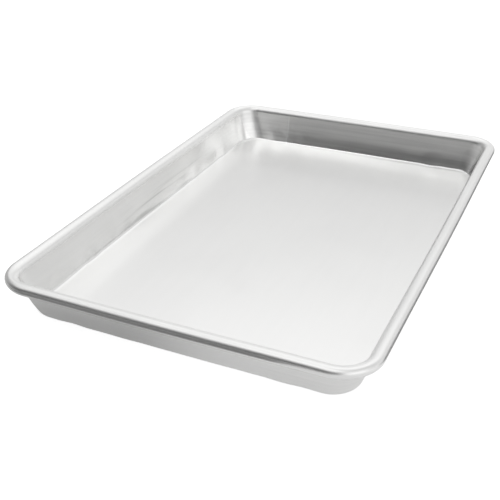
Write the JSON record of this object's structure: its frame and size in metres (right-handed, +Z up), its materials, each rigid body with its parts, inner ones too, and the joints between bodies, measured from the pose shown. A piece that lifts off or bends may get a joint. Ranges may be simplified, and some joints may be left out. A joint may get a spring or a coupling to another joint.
{
  "type": "jelly roll pan",
  "caption": "Shallow rectangular aluminium baking pan with rounded corners, leaning walls and an edge rolled around a wire.",
  "frame": {"origin": "centre of the pan's bounding box in plan, on the plane that the pan stands on", "axes": "+X along the pan's length, +Y across its width, +Z up, out of its open top"},
  "size_m": [0.4064, 0.2794, 0.0334],
  "materials": {
    "bare_aluminium": "mill finish, softly brushed by the press and by washing",
    "rim_wire_steel": "drawn wire, zinc grey, sealed inside the rolled rim"
  },
  "bodies": {
    "root": {"pan_shell": "bare_aluminium", "rim_wire": "rim_wire_steel"}
  },
  "joints": []
}
